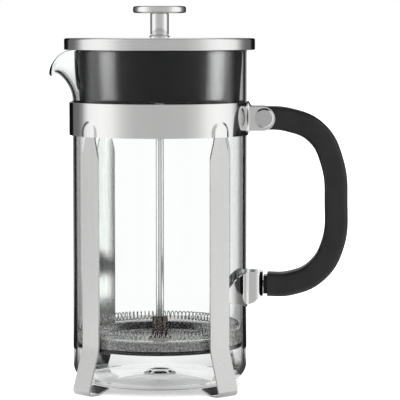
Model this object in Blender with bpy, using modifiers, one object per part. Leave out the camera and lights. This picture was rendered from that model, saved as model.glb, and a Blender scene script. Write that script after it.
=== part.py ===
"""French press, 1 litre: a glass beaker in a four-legged steel frame, with a lid and a plunger.

Units are metres and +Z is up. The object stands on z = 0. Its handle points to +X and its spout to -X.
Everything hangs from an empty on the axis of the beaker, which lies off the origin so that the origin is
in the middle of the whole object's footprint.
"""

import math

import bmesh
import bpy
from mathutils import Matrix, Vector

# ---------------------------------------------------------------- driving dimensions
GAP = 0.0003  # kept between pieces that touch
SHEET = 0.0009  # thickness of the frame's steel strip
TURN_STEPS = 60  # facets round the big turned pieces
SMALL_STEPS = 28  # facets round the small turned pieces

GLASS_R = 0.0480  # outside of the beaker
GLASS_WALL = 0.0020
GLASS_BOTTOM_Z = 0.0031
GLASS_RIM_Z = 0.1856
GLASS_CORNER_R = 0.0100
SPOUT_ROOT_Z = 0.1590  # where the spout begins to leave the wall
SPOUT_REACH = 0.0120  # how far its lip stands out of the wall
SPOUT_DROP = 0.0148  # how far its lip lies under the rim
SPOUT_DROOP = 0.40  # the share of that drop that comes in the last stretch, as the lip turns down
SPOUT_HALF_ANGLE = math.radians(27)

BAND_BOTTOM_Z = 0.1390
BAND_TOP_Z = 0.1570
BAND_R = 0.04925  # middle of the strip
POCKET_DEPTH = 0.0010
POCKET_HALF_WIDTH = 0.0050
POCKET_TOP_Z = 0.1473
POCKET_EDGE = 0.0006  # half the width of a pocket's sloping edge
EAR_END_X = 0.0637
EAR_HALF_HEIGHT = 0.0066
EAR_BEND_R = 0.0022
CLAMP_X = 0.0577
CLAMP_Z = 0.1484

LEG_R = 0.04895  # middle of the strip, on the straight stretch
LEG_TOP_Z = 0.1462
LEG_ANGLES = {
    "front_left_leg": math.radians(-135),
    "front_right_leg": math.radians(-45),
    "rear_left_leg": math.radians(135),
    "rear_right_leg": math.radians(45),
}
LEG_WIDTH = 0.0135
LEG_NECK_WIDTH = 0.0078
LEG_NECK_Z = (0.1275, 0.1385)  # the width grows from the neck's to the full one between these
FLARE_ANGLE = math.radians(17)  # how far the leg leans out below its bend
FLARE_BEND_R = 0.0140
FOOT_R = 0.0557  # middle of the strip at its furthest out
FOOT_BEND_R = 0.0022
FOOT_FLAT = 0.0030  # the flat under the foot, along the leg's radius
TAB_TIP_R = 0.0420
TAB_TIP_Z = 0.00315

HANDLE_WIDTH = 0.0160  # along Y
HANDLE_DEPTH = 0.0127  # in the plane of the C
HANDLE_CORNER_R = 0.0036
HANDLE_TOP_START = 0.0515
HANDLE_LOW_START = 0.0573
HANDLE_LOW_Z = 0.0566
HANDLE_ROUTE = (  # x, z along the middle of the C, from the clamp to the strap
    (HANDLE_TOP_START, 0.1482),
    (0.0709, 0.1471),
    (0.0862, 0.1400),
    (0.0948, 0.1240),
    (0.0970, 0.1020),
    (0.0950, 0.0780),
    (0.0862, 0.0638),
    (0.0725, 0.0573),
    (HANDLE_LOW_START, HANDLE_LOW_Z),
)

STRAP_NOSE_X = 0.0570
STRAP_NOSE_HALF_WIDTH = 0.0080
STRAP_CORNER_R = 0.0042
STRAP_BEND_R = 0.0020
STRAP_NOSE_Z = (0.0462, 0.0638)
STRAP_END_Z = (0.0482, 0.0558)

BOLT_R = 0.0022
BOLT_HOLE_R = 0.0026
BOLT_HEAD_R = 0.0054
BOLT_HEAD = 0.0017
CLAMP_NUT = 0.0028
SCREW_R = 0.0020
SCREW_HOLE_R = 0.0023
SCREW_HEAD_R = 0.0036
SCREW_LENGTH = 0.0110

LID_R = 0.0524
LID_TOP_Z = 0.1919
LID_BOTTOM_Z = 0.1854
LID_SHEET = 0.0008
SKIRT_TOP_R = 0.0456
SKIRT_BOTTOM_R = 0.0439
SKIRT_BOTTOM_Z = 0.1577
SKIRT_WALL = 0.0020
SKIRT_PLATE = 0.0025
STRAINER_SLOTS = 9
STRAINER_PITCH = math.radians(5)
STRAINER_SLOT_WIDTH = 0.0018
STRAINER_SLOT_Z = (0.1640, 0.1800)
BUSH_FLANGE_R = 0.0057
BUSH_FLANGE = 0.0011
BUSH_R = 0.0030
BUSH_BORE_R = 0.0025
LID_NUT_R = 0.0058
NUT_HEIGHT = 0.0033

ROD_R = 0.0022
ROD_LOW_Z = 0.0215
KNOB_R = 0.0146
KNOB_TOP_Z = 0.2093
KNOB_DISC = 0.0041
KNOB_NECK_R = 0.0051
KNOB_BORE_TOP_Z = 0.2030

FILTER_R = 0.0454
CROSS_PLATE_Z = (0.0228, 0.0239, 0.0247)  # rim's lower edge, plate's underside, plate's top
SCREEN_Z = (0.0250, 0.0327)
SCREEN_SHEET = 0.0005
PLATE_SHEET = 0.0006
PLATE_SLOPE_R = (0.0335, 0.0390)  # the dish rises between these radii
PLATE_Z = (0.0258, 0.0294)  # the dish's underside in the middle and at the rim
SPRING_WIRE_COIL_R = 0.0026
SPRING_RING_R = 0.0420
SPRING_Z = 0.0331
HUB_R = 0.0042
HUB_TOP_Z = 0.0384
HUB_FLANGE_R = 0.0064
HUB_FLANGE = 0.0009
STACK_HOLE_R = 0.0026

HANDLE_REACH = 0.0971 + HANDLE_DEPTH / 2
SPOUT_TIP_R = GLASS_R + SPOUT_REACH + GLASS_WALL / 2
AXIS_X = (SPOUT_TIP_R - HANDLE_REACH) / 2

STEEL = (0.72, 0.72, 0.71)
DARK_STEEL = (0.45, 0.45, 0.44)
GLASS = (0.92, 0.95, 0.95)
BLACK_GLOSS = (0.012, 0.012, 0.013)
BLACK_MATT = (0.025, 0.025, 0.026)


# ---------------------------------------------------------------- scene and small helpers
def clear_scene():
    """Removes every object that the file starts with."""
    for ob in list(bpy.data.objects):
        bpy.data.objects.remove(ob, do_unlink=True)


def new_collection(name):
    """A collection under the scene's own."""
    made = bpy.data.collections.new(name)
    bpy.context.scene.collection.children.link(made)
    return made


def principled(name, colour, metallic, roughness, transmission=0.0):
    """A material with one Principled shader."""
    made = bpy.data.materials.new(name)
    made.use_nodes = True
    shader = made.node_tree.nodes["Principled BSDF"]
    shader.inputs["Base Color"].default_value = (*colour, 1.0)
    shader.inputs["Metallic"].default_value = metallic
    shader.inputs["Roughness"].default_value = roughness
    shader.inputs["Transmission Weight"].default_value = transmission
    return made


def steel(name, roughness=0.12):
    return principled(name + "_steel", STEEL, 1.0, roughness)


def smoothstep(x, low, high):
    """0 below low, 1 above high, and an even S between."""
    t = min(max((x - low) / (high - low), 0.0), 1.0)
    return t * t * (3 - 2 * t)


def mix(a, b, t):
    return a + (b - a) * t


def arc(cx, cz, r, start_deg, end_deg, steps):
    """Points along a circle in a plane, both ends included."""
    angles = [math.radians(mix(start_deg, end_deg, i / steps)) for i in range(steps + 1)]
    return [(cx + r * math.cos(a), cz + r * math.sin(a)) for a in angles]


class Builder:
    """Puts the pieces in one collection, the cutters in another, all under one empty."""

    def __init__(self, name):
        self.parts = new_collection(name)
        self.cutters = new_collection("cutters")
        self.axis = bpy.data.objects.new("beaker_axis", None)
        self.axis.location = (AXIS_X, 0.0, 0.0)
        self.parts.objects.link(self.axis)

    def piece(self, name, mesh, material):
        """A named object of the press."""
        ob = bpy.data.objects.new(name, mesh)
        ob.parent = self.axis
        self.parts.objects.link(ob)
        mesh.materials.append(material)
        mesh.shade_smooth()
        return ob

    def cutter(self, name, mesh):
        """A hidden tool for Boolean cuts."""
        ob = bpy.data.objects.new(name, mesh)
        ob.parent = self.axis
        ob.hide_render = True
        ob.display_type = "WIRE"
        self.cutters.objects.link(ob)
        return ob

    def cut(self, ob, tool):
        """Takes the tool's solid out of the piece."""
        step = ob.modifiers.new("cut_" + tool.name, "BOOLEAN")
        step.operation = "DIFFERENCE"
        step.solver = "EXACT"
        step.object = tool


def mesh_from_bmesh(name, bm):
    mesh = bpy.data.meshes.new(name)
    bm.to_mesh(mesh)
    bm.free()
    return mesh


def turned(builder, name, profile, material, steps, closed):
    """A profile of (radius, z) turned about the axis. It runs down the outer side."""
    bm = bmesh.new()
    verts = [bm.verts.new((r, 0.0, z)) for r, z in profile]
    for a, b in zip(verts, verts[1:]):
        bm.edges.new((a, b))
    if closed:
        bm.edges.new((verts[-1], verts[0]))
    ob = builder.piece(name, mesh_from_bmesh(name, bm), material)
    screw = ob.modifiers.new("turn", "SCREW")
    screw.steps = steps
    screw.render_steps = steps
    screw.use_merge_vertices = True
    screw.merge_threshold = 0.00002
    screw.use_smooth_shade = True
    return ob


def solidify(ob, thickness, offset):
    step = ob.modifiers.new("sheet", "SOLIDIFY")
    step.thickness = thickness
    step.offset = offset
    step.use_even_offset = True
    return step


def strip(builder, name, columns, rows, place, material):
    """A strip of sheet: a grid whose corner (i, j) goes to place(i, j), then its thickness."""
    bm = bmesh.new()
    bmesh.ops.create_grid(bm, x_segments=columns, y_segments=rows, size=1.0)
    for vert in bm.verts:
        i = round((vert.co.x + 1) / 2 * columns)
        j = round((vert.co.y + 1) / 2 * rows)
        vert.co = Vector(place(i, j))
    ob = builder.piece(name, mesh_from_bmesh(name, bm), material)
    return ob


def bars(name, places, radius, depth, sides):
    """One mesh with a closed bar at each place, a matrix whose Z is the bar's axis."""
    bm = bmesh.new()
    for place in places:
        bmesh.ops.create_cone(
            bm,
            cap_ends=True,
            segments=sides,
            radius1=radius,
            radius2=radius,
            depth=depth,
            matrix=place,
        )
    return mesh_from_bmesh(name, bm)


def boxes(name, places, size):
    """One mesh with a closed box at each place."""
    bm = bmesh.new()
    for place in places:
        bmesh.ops.create_cube(bm, size=1.0, matrix=place @ Matrix.Diagonal((*size, 1.0)))
    return mesh_from_bmesh(name, bm)


ALONG_Y = Matrix.Rotation(math.radians(90), 4, "X")
ALONG_X = Matrix.Rotation(math.radians(90), 4, "Y")


def hex_nut(builder, name, radius, height, bore, place, material):
    """A six-sided nut with a round bore, its middle at place and its axis along place's Z."""
    ob = builder.piece(name, bars(name, [place], radius, height, 6), material)
    tool = builder.cutter(name + "_bore", bars(name + "_bore", [place], bore, 3 * height, 20))
    builder.cut(ob, tool)
    return ob


# ---------------------------------------------------------------- frame
def band_plan():
    """Half of the band seen from above, from the back of the spout side to the tip of an ear.

    Each station is x, y, the outward normal, half the height and the angle on the round stretch.
    """
    ear_y = HANDLE_WIDTH / 2 + GAP + SHEET / 2
    bend_x = math.sqrt((BAND_R + EAR_BEND_R) ** 2 - (ear_y + EAR_BEND_R) ** 2)
    bend_y = ear_y + EAR_BEND_R
    meet = math.atan2(bend_y, bend_x)
    half = (BAND_TOP_Z - BAND_BOTTOM_Z) / 2
    flat = (POCKET_HALF_WIDTH - POCKET_EDGE) / BAND_R
    foot = (POCKET_HALF_WIDTH + POCKET_EDGE) / BAND_R
    angles = [math.radians(180 - 7.5 * k) for k in range(23)]
    for middle in (math.radians(45), math.radians(135)):
        angles = [a for a in angles if abs(a - middle) > foot + 0.02 or a == middle]
        angles += [middle - foot, middle - flat, middle + flat, middle + foot]
    angles = sorted((a for a in set(angles) if a > meet + 0.03), reverse=True)
    stations = [
        (BAND_R * math.cos(a), BAND_R * math.sin(a), math.cos(a), math.sin(a), half, a)
        for a in angles + [meet]
    ]
    for k in range(1, 5):
        a = mix(math.pi + meet, 1.5 * math.pi, k / 4)
        x, y = bend_x + EAR_BEND_R * math.cos(a), bend_y + EAR_BEND_R * math.sin(a)
        height = mix(half, EAR_HALF_HEIGHT, smoothstep(k / 4, 0, 1))
        stations.append((x, y, -math.cos(a), -math.sin(a), height, None))
    centre = EAR_END_X - EAR_HALF_HEIGHT
    for k in range(7):
        a = math.radians(14 * k)
        height = EAR_HALF_HEIGHT * math.cos(a)
        stations.append((centre + EAR_HALF_HEIGHT * math.sin(a), ear_y, 0.0, 1.0, height, None))
    return stations


def pocket_lift(angle, z):
    """How far the band is pressed out over a leg's top."""
    if angle is None:
        return 0.0
    away = min(abs(angle - math.radians(45)), abs(angle - math.radians(135))) * BAND_R
    side = 1 - smoothstep(away, POCKET_HALF_WIDTH - POCKET_EDGE, POCKET_HALF_WIDTH + POCKET_EDGE)
    top = 1 - smoothstep(z, POCKET_TOP_Z - POCKET_EDGE, POCKET_TOP_Z + POCKET_EDGE)
    return POCKET_DEPTH * side * top


def make_band(builder):
    """One strip round the glass, with its ends turned out as ears and drilled for the bolt."""
    stations = band_plan()
    middle = (BAND_TOP_Z + BAND_BOTTOM_Z) / 2
    levels = (
        BAND_BOTTOM_Z,
        mix(BAND_BOTTOM_Z, POCKET_TOP_Z, 0.5),
        POCKET_TOP_Z - POCKET_EDGE,
        POCKET_TOP_Z + POCKET_EDGE,
        mix(POCKET_TOP_Z, BAND_TOP_Z, 0.6),
        BAND_TOP_Z,
    )
    shares = [(z - middle) / (BAND_TOP_Z - middle) for z in levels]

    def place(i, j):
        x, y, nx, ny, half, angle = stations[i]
        z = middle + half * shares[j]
        lift = pocket_lift(angle, z)
        return x + nx * lift, y + ny * lift, z

    ob = strip(builder, "frame_band", len(stations) - 1, len(shares) - 1, place, steel("band", 0.06))
    mirror = ob.modifiers.new("other_half", "MIRROR")
    mirror.use_axis = (False, True, False)
    mirror.use_clip = True
    mirror.merge_threshold = 0.00005
    solidify(ob, SHEET, 0.0)
    hole = Matrix.Translation((CLAMP_X, 0.0, CLAMP_Z)) @ ALONG_Y
    builder.cut(ob, builder.cutter("ear_hole", bars("ear_hole", [hole], BOLT_HOLE_R, 0.05, 20)))
    return ob


def leg_profile():
    """The leg's middle line as (radius, z), from the top down, round the foot and in to the tab's tip."""
    centre_r = FOOT_R - FOOT_BEND_R
    centre_z = FOOT_BEND_R + SHEET / 2
    lean_cos, lean_sin = math.cos(FLARE_ANGLE), math.sin(FLARE_ANGLE)
    toe_r = centre_r + FOOT_BEND_R * lean_cos  # where the straight flare meets the foot's bend
    toe_z = centre_z + FOOT_BEND_R * lean_sin
    run = (toe_r - LEG_R - FLARE_BEND_R * (1 - lean_cos)) / lean_sin
    flare_z = toe_z + run * lean_cos + FLARE_BEND_R * lean_sin
    low, high = LEG_NECK_Z
    line = [(LEG_R, mix(LEG_TOP_Z, high, t)) for t in (0.0, 0.5)]
    line += [(LEG_R, mix(high, low, k / 4)) for k in range(5)]
    line.append((LEG_R, (low + flare_z) / 2))
    line += arc(LEG_R + FLARE_BEND_R, flare_z, FLARE_BEND_R, 180, 180 + math.degrees(FLARE_ANGLE), 3)
    line += arc(centre_r, centre_z, FOOT_BEND_R, math.degrees(FLARE_ANGLE), -90, 5)
    heel_r = centre_r - FOOT_FLAT
    line.append((heel_r, SHEET / 2))
    line.append((mix(heel_r, TAB_TIP_R, 0.3), mix(SHEET / 2, TAB_TIP_Z, 0.22)))
    line.append((TAB_TIP_R, TAB_TIP_Z))
    return line


def leg_half_width(z, index):
    """Half the strip's width: a neck in the band, full width below."""
    if index == 0:
        return LEG_NECK_WIDTH * 0.30
    grow = smoothstep(z, *LEG_NECK_Z)
    return mix(LEG_WIDTH, LEG_NECK_WIDTH, grow) / 2


def make_leg(builder, name, angle):
    """A flat strip, tangent to the glass, bent out at the foot and back under it."""
    line = leg_profile()
    rows = 2
    out = Vector((math.cos(angle), math.sin(angle), 0.0))
    along = Vector((-math.sin(angle), math.cos(angle), 0.0))

    def place(i, j):
        r, z = line[i]
        return out * r + along * leg_half_width(z, i) * (2 * j / rows - 1) + Vector((0.0, 0.0, z))

    ob = strip(builder, name, len(line) - 1, rows, place, steel(name, 0.10))
    solidify(ob, SHEET, 0.0)
    return ob


def strap_plan():
    """Half of the bow seen from above, from the middle of its nose to its end at a leg.

    Each station is x, y and how far it is from the nose (0) to the end (1).
    """
    nose_x = STRAP_NOSE_X - SHEET / 2
    side_y = STRAP_NOSE_HALF_WIDTH - SHEET / 2
    corner_x, corner_y = nose_x - STRAP_CORNER_R, side_y - STRAP_CORNER_R
    points = [(nose_x, 0.0, 0.0)]
    points += [(x, y, 0.0) for x, y in arc(corner_x, corner_y, STRAP_CORNER_R, 0, 90, 5)]
    bend_y = side_y + STRAP_BEND_R
    bend_x = math.sqrt((LEG_R + STRAP_BEND_R) ** 2 - bend_y**2)
    meet = math.degrees(math.atan2(bend_y, bend_x))
    points += [(x, y, 0.0) for x, y in arc(bend_x, bend_y, STRAP_BEND_R, 270, 180 + meet, 4)]
    end = 45 - math.degrees(math.atan((LEG_WIDTH / 2 + GAP) / LEG_R))
    for k in range(1, 7):
        a = math.radians(mix(meet, end, k / 6))
        points.append((LEG_R * math.cos(a), LEG_R * math.sin(a), k / 6))
    return points


def make_strap(builder):
    """The bow that holds the handle's lower end: tall at the nose, low where it meets the legs."""
    points = strap_plan()
    rows = 3

    def place(i, j):
        x, y, share = points[i]
        grow = smoothstep(share, 0.0, 1.0)
        low = mix(STRAP_NOSE_Z[0], STRAP_END_Z[0], grow)
        high = mix(STRAP_NOSE_Z[1], STRAP_END_Z[1], grow)
        return x, y, mix(low, high, j / rows)

    ob = strip(builder, "handle_strap", len(points) - 1, rows, place, steel("strap", 0.10))
    mirror = ob.modifiers.new("other_half", "MIRROR")
    mirror.use_axis = (False, True, False)
    mirror.use_clip = True
    mirror.merge_threshold = 0.00005
    solidify(ob, SHEET, 0.0)
    hole = Matrix.Translation((STRAP_NOSE_X, 0.0, HANDLE_LOW_Z)) @ ALONG_X
    tool = builder.cutter("strap_hole", bars("strap_hole", [hole], SCREW_HOLE_R, 0.006, 16))
    builder.cut(ob, tool)
    return ob


def make_handle(builder):
    """A rounded bar swept along the C, drilled across for the bolt and along for the screw."""
    section = bpy.data.curves.new("handle_section", "CURVE")
    section.dimensions = "2D"
    spline = section.splines.new("POLY")
    half_u, half_v, r = HANDLE_DEPTH / 2, HANDLE_WIDTH / 2, HANDLE_CORNER_R
    corners = []
    for cx, cy, start in (
        (half_u - r, half_v - r, 0),
        (r - half_u, half_v - r, 90),
        (r - half_u, r - half_v, 180),
        (half_u - r, r - half_v, 270),
    ):
        corners += arc(cx, cy, r, start, start + 90, 3)
    spline.points.add(len(corners) - 1)
    for point, (x, y) in zip(spline.points, corners):
        point.co = (x, y, 0.0, 1.0)
    spline.use_cyclic_u = True
    section_ob = bpy.data.objects.new("handle_section", section)
    builder.cutters.objects.link(section_ob)

    path = bpy.data.curves.new("handle_path", "CURVE")
    path.dimensions = "2D"
    path.fill_mode = "NONE"
    route = path.splines.new("BEZIER")
    route.bezier_points.add(len(HANDLE_ROUTE) - 1)
    route.resolution_u = 4
    for point, (x, z) in zip(route.bezier_points, HANDLE_ROUTE):
        point.co = (x, z, 0.0)
        point.handle_left_type = "AUTO"
        point.handle_right_type = "AUTO"
    path.bevel_mode = "OBJECT"
    path.bevel_object = section_ob
    path.use_fill_caps = True
    swept = bpy.data.objects.new("handle_path", path)
    swept.rotation_euler = (math.radians(90), 0.0, 0.0)
    builder.parts.objects.link(swept)

    bpy.context.view_layer.update()
    evaluated = swept.evaluated_get(bpy.context.evaluated_depsgraph_get())
    mesh = bpy.data.meshes.new_from_object(evaluated)
    mesh.transform(swept.matrix_world)
    bpy.data.objects.remove(swept, do_unlink=True)
    bpy.data.objects.remove(section_ob, do_unlink=True)
    bm = bmesh.new()
    bm.from_mesh(mesh)
    bmesh.ops.remove_doubles(bm, verts=bm.verts, dist=0.00002)
    for vert in bm.verts:  # both ends are cut square to X
        if vert.co.x < HANDLE_TOP_START + 0.002 and vert.co.z > 0.1:
            vert.co.x = HANDLE_TOP_START
        if vert.co.x < HANDLE_LOW_START + 0.002 and vert.co.z < 0.1:
            vert.co.x = HANDLE_LOW_START
    bmesh.ops.recalc_face_normals(bm, faces=bm.faces)
    mesh.materials.clear()
    bm.to_mesh(mesh)
    bm.free()
    ob = builder.piece("handle", mesh, principled("handle_plastic", BLACK_MATT, 0.0, 0.5))
    across = Matrix.Translation((CLAMP_X, 0.0, CLAMP_Z)) @ ALONG_Y
    tool = bars("handle_cross_hole", [across], BOLT_HOLE_R, 0.05, 20)
    builder.cut(ob, builder.cutter("handle_cross_hole", tool))
    depth = SCREW_LENGTH + 0.001
    along = Matrix.Translation((HANDLE_LOW_START, 0.0, HANDLE_LOW_Z)) @ ALONG_X
    tool = bars("handle_screw_hole", [along], SCREW_HOLE_R, 2 * depth, 16)
    builder.cut(ob, builder.cutter("handle_screw_hole", tool))
    return ob


def make_fasteners(builder):
    """The bolt and nut through the ears, and the screw in the handle's lower end."""
    face = HANDLE_WIDTH / 2 + GAP + SHEET + GAP  # where a head meets the ear
    end = face + CLAMP_NUT + 0.0006
    head = [
        (0.0, face + BOLT_HEAD),
        (BOLT_HEAD_R - 0.0007, face + BOLT_HEAD),
        (BOLT_HEAD_R, face + BOLT_HEAD - 0.0006),
        (BOLT_HEAD_R, face),
        (BOLT_R, face),
        (BOLT_R, -end + 0.0003),
        (BOLT_R - 0.0003, -end),
        (0.0, -end),
    ]
    bolt = turned(builder, "clamp_bolt", head, steel("bolt", 0.16), SMALL_STEPS, False)
    bolt.location = (CLAMP_X, 0.0, CLAMP_Z)
    bolt.rotation_euler = (math.radians(90), 0.0, 0.0)
    nut_at = Matrix.Translation((CLAMP_X, face + CLAMP_NUT / 2, CLAMP_Z)) @ ALONG_Y
    hex_nut(builder, "clamp_nut", BOLT_HEAD_R, CLAMP_NUT, BOLT_R + GAP, nut_at, steel("nut", 0.16))
    top = STRAP_NOSE_X - SHEET - GAP  # the head's underside, inside the bow
    screw = turned(
        builder,
        "lower_handle_screw",
        [
            (0.0, 0.0022),
            (SCREW_HEAD_R * 0.7, 0.0022),
            (SCREW_HEAD_R, 0.0010),
            (SCREW_HEAD_R, 0.0),
            (SCREW_R, 0.0),
            (SCREW_R, -SCREW_LENGTH + 0.001),
            (SCREW_R * 0.6, -SCREW_LENGTH),
            (0.0, -SCREW_LENGTH),
        ],
        steel("screw", 0.25),
        20,
        False,
    )
    screw.location = (top, 0.0, HANDLE_LOW_Z)
    screw.rotation_euler = (0.0, math.radians(-90), 0.0)


# ---------------------------------------------------------------- beaker
def spout_move(x, y, z):
    """Where a point of the plain wall goes when the spout is pulled out of it."""
    turn = abs(math.atan2(y, -x))
    if turn >= SPOUT_HALF_ANGLE or z <= SPOUT_ROOT_Z or x >= 0:
        return x, y, z
    near = 0.5 * (1 + math.cos(math.pi * turn / SPOUT_HALF_ANGLE))
    up = (z - SPOUT_ROOT_Z) / (GLASS_RIM_Z - SPOUT_ROOT_Z)
    lean = math.sin(near * math.pi / 2)
    sink = 1 - math.cos(near * math.pi / 2)
    out = SPOUT_REACH * lean * up**1.85
    down = SPOUT_DROP * sink * ((1 - SPOUT_DROOP) * up**1.2 + SPOUT_DROOP * up**8)
    r = math.hypot(x, y)
    grow = (r + out) / r
    return x * grow, y * grow, z - down


def make_beaker(builder):
    """The outside surface is turned, the spout is pulled out, and the wall is thickened inwards."""
    steps = 8
    levels = [mix(GLASS_RIM_Z, SPOUT_ROOT_Z, k / steps) for k in range(steps + 1)]
    profile = [(GLASS_R, z) for z in levels]
    corner = GLASS_R - GLASS_CORNER_R
    profile += arc(corner, GLASS_BOTTOM_Z + GLASS_CORNER_R, GLASS_CORNER_R, 0, -90, 5)
    profile += [(corner / 2, GLASS_BOTTOM_Z), (0.0, GLASS_BOTTOM_Z)]
    material = principled("beaker_glass", GLASS, 0.0, 0.0, 1.0)
    rough = turned(builder, "beaker_blank", profile, material, TURN_STEPS, False)
    bpy.context.view_layer.update()
    evaluated = rough.evaluated_get(bpy.context.evaluated_depsgraph_get())
    mesh = bpy.data.meshes.new_from_object(evaluated)
    bpy.data.objects.remove(rough, do_unlink=True)
    for vert in mesh.vertices:
        vert.co = spout_move(*vert.co)
    mesh.materials.clear()
    ob = builder.piece("glass_beaker", mesh, material)
    solidify(ob, GLASS_WALL, -1.0)
    return ob


# ---------------------------------------------------------------- lid
def make_lid(builder):
    """The steel cap, the black insert with its strainer, the rod's bush and the nut under it."""
    hole = BUSH_R + GAP
    inner = LID_R - LID_SHEET
    under = LID_TOP_Z - LID_SHEET
    cover = [
        (hole, LID_TOP_Z),
        (LID_R - 0.0006, LID_TOP_Z),
        (LID_R, LID_TOP_Z - 0.0006),
        (LID_R, LID_BOTTOM_Z),
        (inner, LID_BOTTOM_Z),
        (inner, under),
        (hole, under),
    ]
    turned(builder, "lid_cover", cover, steel("lid", 0.15), TURN_STEPS, True)

    top = under - GAP
    plate = top - SKIRT_PLATE
    rest = GLASS_RIM_Z + GAP
    skirt = [
        (hole, top),
        (inner - GAP, top),
        (inner - GAP, rest),
        (SKIRT_TOP_R, rest),
        (SKIRT_BOTTOM_R, SKIRT_BOTTOM_Z),
        (SKIRT_BOTTOM_R - SKIRT_WALL, SKIRT_BOTTOM_Z),
        (SKIRT_TOP_R - SKIRT_WALL, plate),
        (hole, plate),
    ]
    black = principled("skirt_plastic", BLACK_GLOSS, 0.0, 0.15)
    ob = turned(builder, "lid_skirt", skirt, black, TURN_STEPS, True)
    low, high = STRAINER_SLOT_Z
    places = []
    for k in range(STRAINER_SLOTS):
        a = math.pi + (k - (STRAINER_SLOTS - 1) / 2) * STRAINER_PITCH
        turn = Matrix.Rotation(a, 4, "Z")
        places.append(turn @ Matrix.Translation((SKIRT_BOTTOM_R, 0.0, (low + high) / 2)))
    size = (0.012, STRAINER_SLOT_WIDTH, high - low)
    builder.cut(ob, builder.cutter("strainer_slots", boxes("strainer_slots", places, size)))

    flange_low = LID_TOP_Z + GAP
    flange_high = flange_low + BUSH_FLANGE
    nut_top = plate - GAP
    bush_low = nut_top - NUT_HEIGHT - 0.0008
    bush = [
        (BUSH_BORE_R, flange_high),
        (BUSH_FLANGE_R - 0.0005, flange_high),
        (BUSH_FLANGE_R, flange_high - 0.0005),
        (BUSH_FLANGE_R, flange_low),
        (BUSH_R, flange_low),
        (BUSH_R, bush_low),
        (BUSH_BORE_R, bush_low),
    ]
    turned(builder, "lid_bush", bush, steel("bush", 0.12), SMALL_STEPS, True)
    nut_at = Matrix.Translation((0.0, 0.0, nut_top - NUT_HEIGHT / 2))
    hex_nut(builder, "lid_nut", LID_NUT_R, NUT_HEIGHT, hole, nut_at, steel("lid_nut", 0.25))
    return flange_high


# ---------------------------------------------------------------- plunger
def make_knob(builder, seat_z):
    """A flat disc on a neck, bored from below for the rod. Pressed down, it stops on the bush."""
    disc_low = KNOB_TOP_Z - KNOB_DISC
    low = seat_z + GAP
    profile = [(0.0, KNOB_TOP_Z)]
    profile += arc(KNOB_R - 0.0012, KNOB_TOP_Z - 0.0012, 0.0012, 90, 0, 2)
    profile += arc(KNOB_R - 0.0012, disc_low + 0.0012, 0.0012, 0, -90, 2)
    profile += [
        (KNOB_NECK_R, disc_low),
        (KNOB_NECK_R, low + 0.0005),
        (KNOB_NECK_R - 0.0005, low),
        (ROD_R + GAP, low),
        (ROD_R + GAP, KNOB_BORE_TOP_Z),
        (0.0, KNOB_BORE_TOP_Z),
    ]
    turned(builder, "knob", profile, steel("knob", 0.06), 40, False)


def make_rod(builder):
    top = KNOB_BORE_TOP_Z - GAP
    profile = [
        (0.0, top),
        (ROD_R - 0.0004, top),
        (ROD_R, top - 0.0004),
        (ROD_R, ROD_LOW_Z),
        (0.0, ROD_LOW_Z),
    ]
    turned(builder, "plunger_rod", profile, steel("rod", 0.10), 20, False)


def ring_of_holes(radius, count, z, shift=0.0):
    """Where holes go that are spread evenly on a circle."""
    angles = [2 * math.pi * k / count + shift for k in range(count)]
    return [
        Matrix.Translation((radius * math.cos(a), radius * math.sin(a), z)) for a in angles
    ]


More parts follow.
